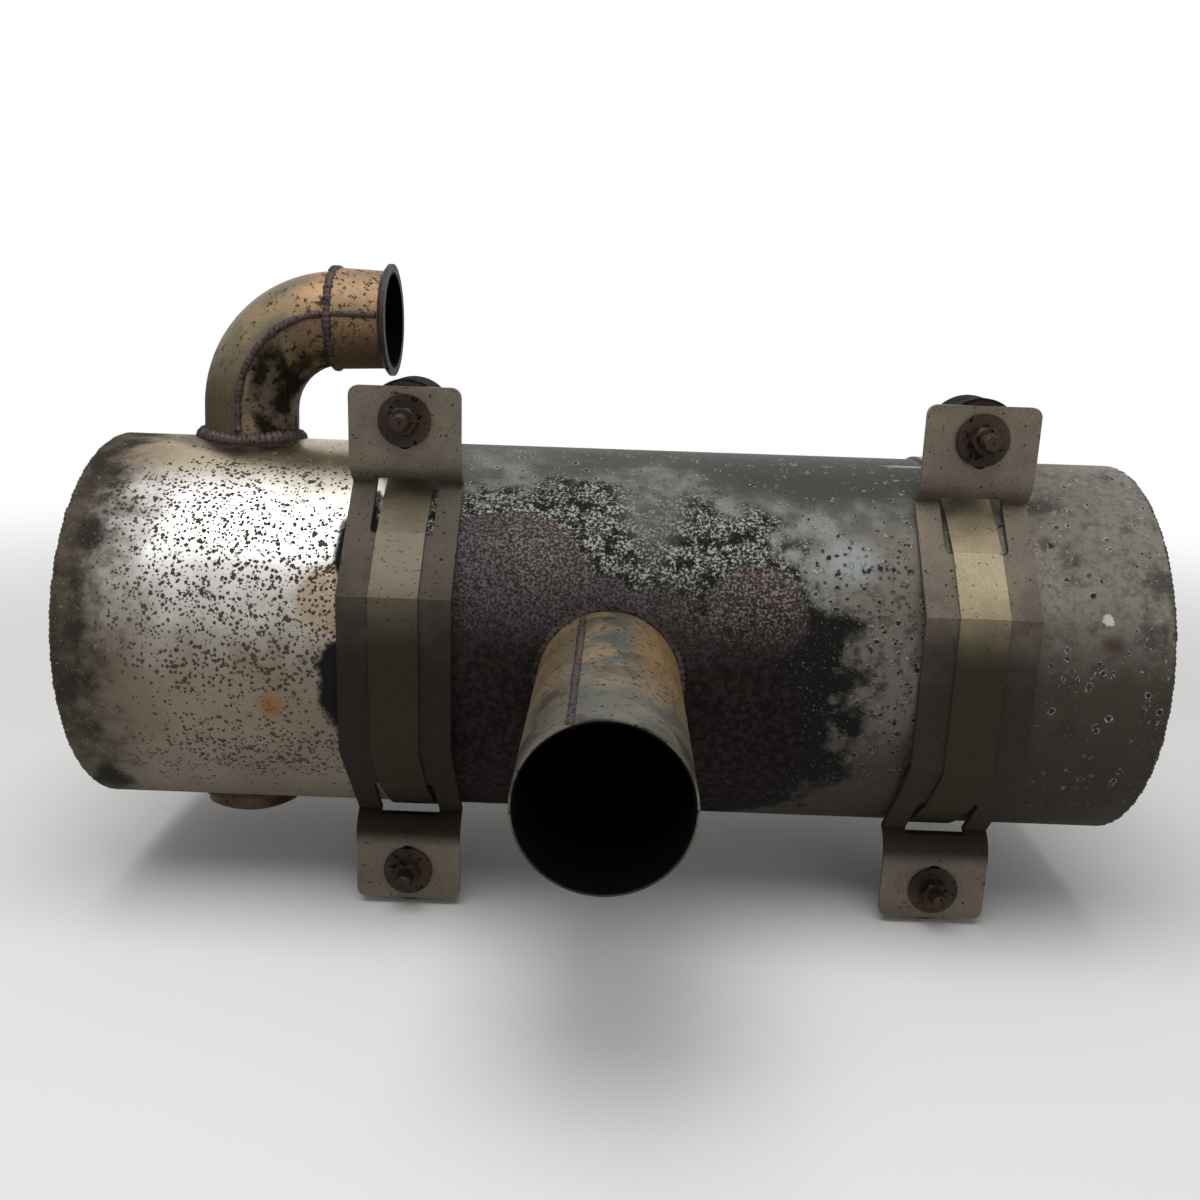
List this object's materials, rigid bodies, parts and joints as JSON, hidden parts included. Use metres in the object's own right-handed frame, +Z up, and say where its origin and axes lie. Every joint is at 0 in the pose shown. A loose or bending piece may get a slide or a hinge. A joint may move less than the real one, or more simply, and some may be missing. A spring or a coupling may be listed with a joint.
{
  "type": "exhaust muffler",
  "caption": "Round truck exhaust muffler with elbow inlet and clamp flange, side outlet tube, and strapped saddle brackets with rubber isolators.",
  "frame": {"origin": "centre of the four rear isolator studs, on the plane where the isolators seat on the vehicle", "axes": "+X along the can away from the inlet, +Y out of the mounting plane towards the vehicle (the outlet points to -Y), +Z up"},
  "size_m": [0.55, 0.3723, 0.3378],
  "materials": {
    "can_steel": "heat-tinted stainless sheet with scale, pits and soot",
    "end_steel": "dull dark sheet",
    "elbow_steel": "khaki-gold heat tint with brown spots",
    "inlet_steel": "orange-tan heat tint",
    "outlet_steel": "brushed grey-green with mottled tint",
    "cap_steel": "dark brown scale",
    "bracket_steel": "warm grey-brown, specked and stained",
    "strap_steel": "grey-olive band, browned below",
    "inner_steel": "sooted sheet",
    "weld_bead": "purple-brown oxidised weld",
    "rusty_fastener": "dark brown rust",
    "isolator_rubber": "matt black, dusty"
  },
  "bodies": {
    "root": {"baffle_left": "inner_steel", "baffle_right": "inner_steel", "elbow_base_weld": "weld_bead", "elbow_inner_half": "elbow_steel", "elbow_outer_half": "elbow_steel", "elbow_seam_weld_back": "weld_bead", "elbow_seam_weld_front": "weld_bead", "inlet_cap_weld": "weld_bead", "inlet_collar": "inlet_steel", "inlet_collar_seam_weld": "weld_bead", "inlet_collar_weld": "weld_bead", "inlet_cross_tube": "inner_steel", "inlet_flange": "inlet_steel", "inlet_tube_cap": "cap_steel", "isolator_front_stud_lower_left": "rusty_fastener", "isolator_front_stud_lower_right": "rusty_fastener", "isolator_front_stud_upper_left": "rusty_fastener", "isolator_front_stud_upper_right": "rusty_fastener", "isolator_rear_stud_lower_left": "rusty_fastener", "isolator_rear_stud_lower_right": "rusty_fastener", "isolator_rear_stud_upper_left": "rusty_fastener", "isolator_rear_stud_upper_right": "rusty_fastener", "isolator_rubber_lower_left": "isolator_rubber", "isolator_rubber_lower_right": "isolator_rubber", "isolator_rubber_upper_left": "isolator_rubber", "isolator_rubber_upper_right": "isolator_rubber", "left_end_plate": "end_steel", "left_rim_weld": "weld_bead", "outlet_base_weld": "weld_bead", "outlet_seam_weld": "weld_bead", "outlet_tube": "outlet_steel", "right_end_plate": "end_steel", "right_rim_weld": "weld_bead", "saddle_left": "bracket_steel", "saddle_right": "bracket_steel", "shell": "can_steel", "shell_seam_weld": "weld_bead", "strap_bolt_left": "rusty_fastener", "strap_bolt_right": "rusty_fastener", "strap_left": "strap_steel", "strap_nut_left": "rusty_fastener", "strap_nut_right": "rusty_fastener", "strap_right": "strap_steel", "stud_nut_lower_left": "rusty_fastener", "stud_nut_lower_right": "rusty_fastener", "stud_nut_upper_left": "rusty_fastener", "stud_nut_upper_right": "rusty_fastener", "stud_washer_lower_left": "rusty_fastener", "stud_washer_lower_right": "rusty_fastener", "stud_washer_upper_left": "rusty_fastener", "stud_washer_upper_right": "rusty_fastener", "transfer_tube_long": "inner_steel", "transfer_tube_short": "inner_steel"}
  },
  "joints": []
}
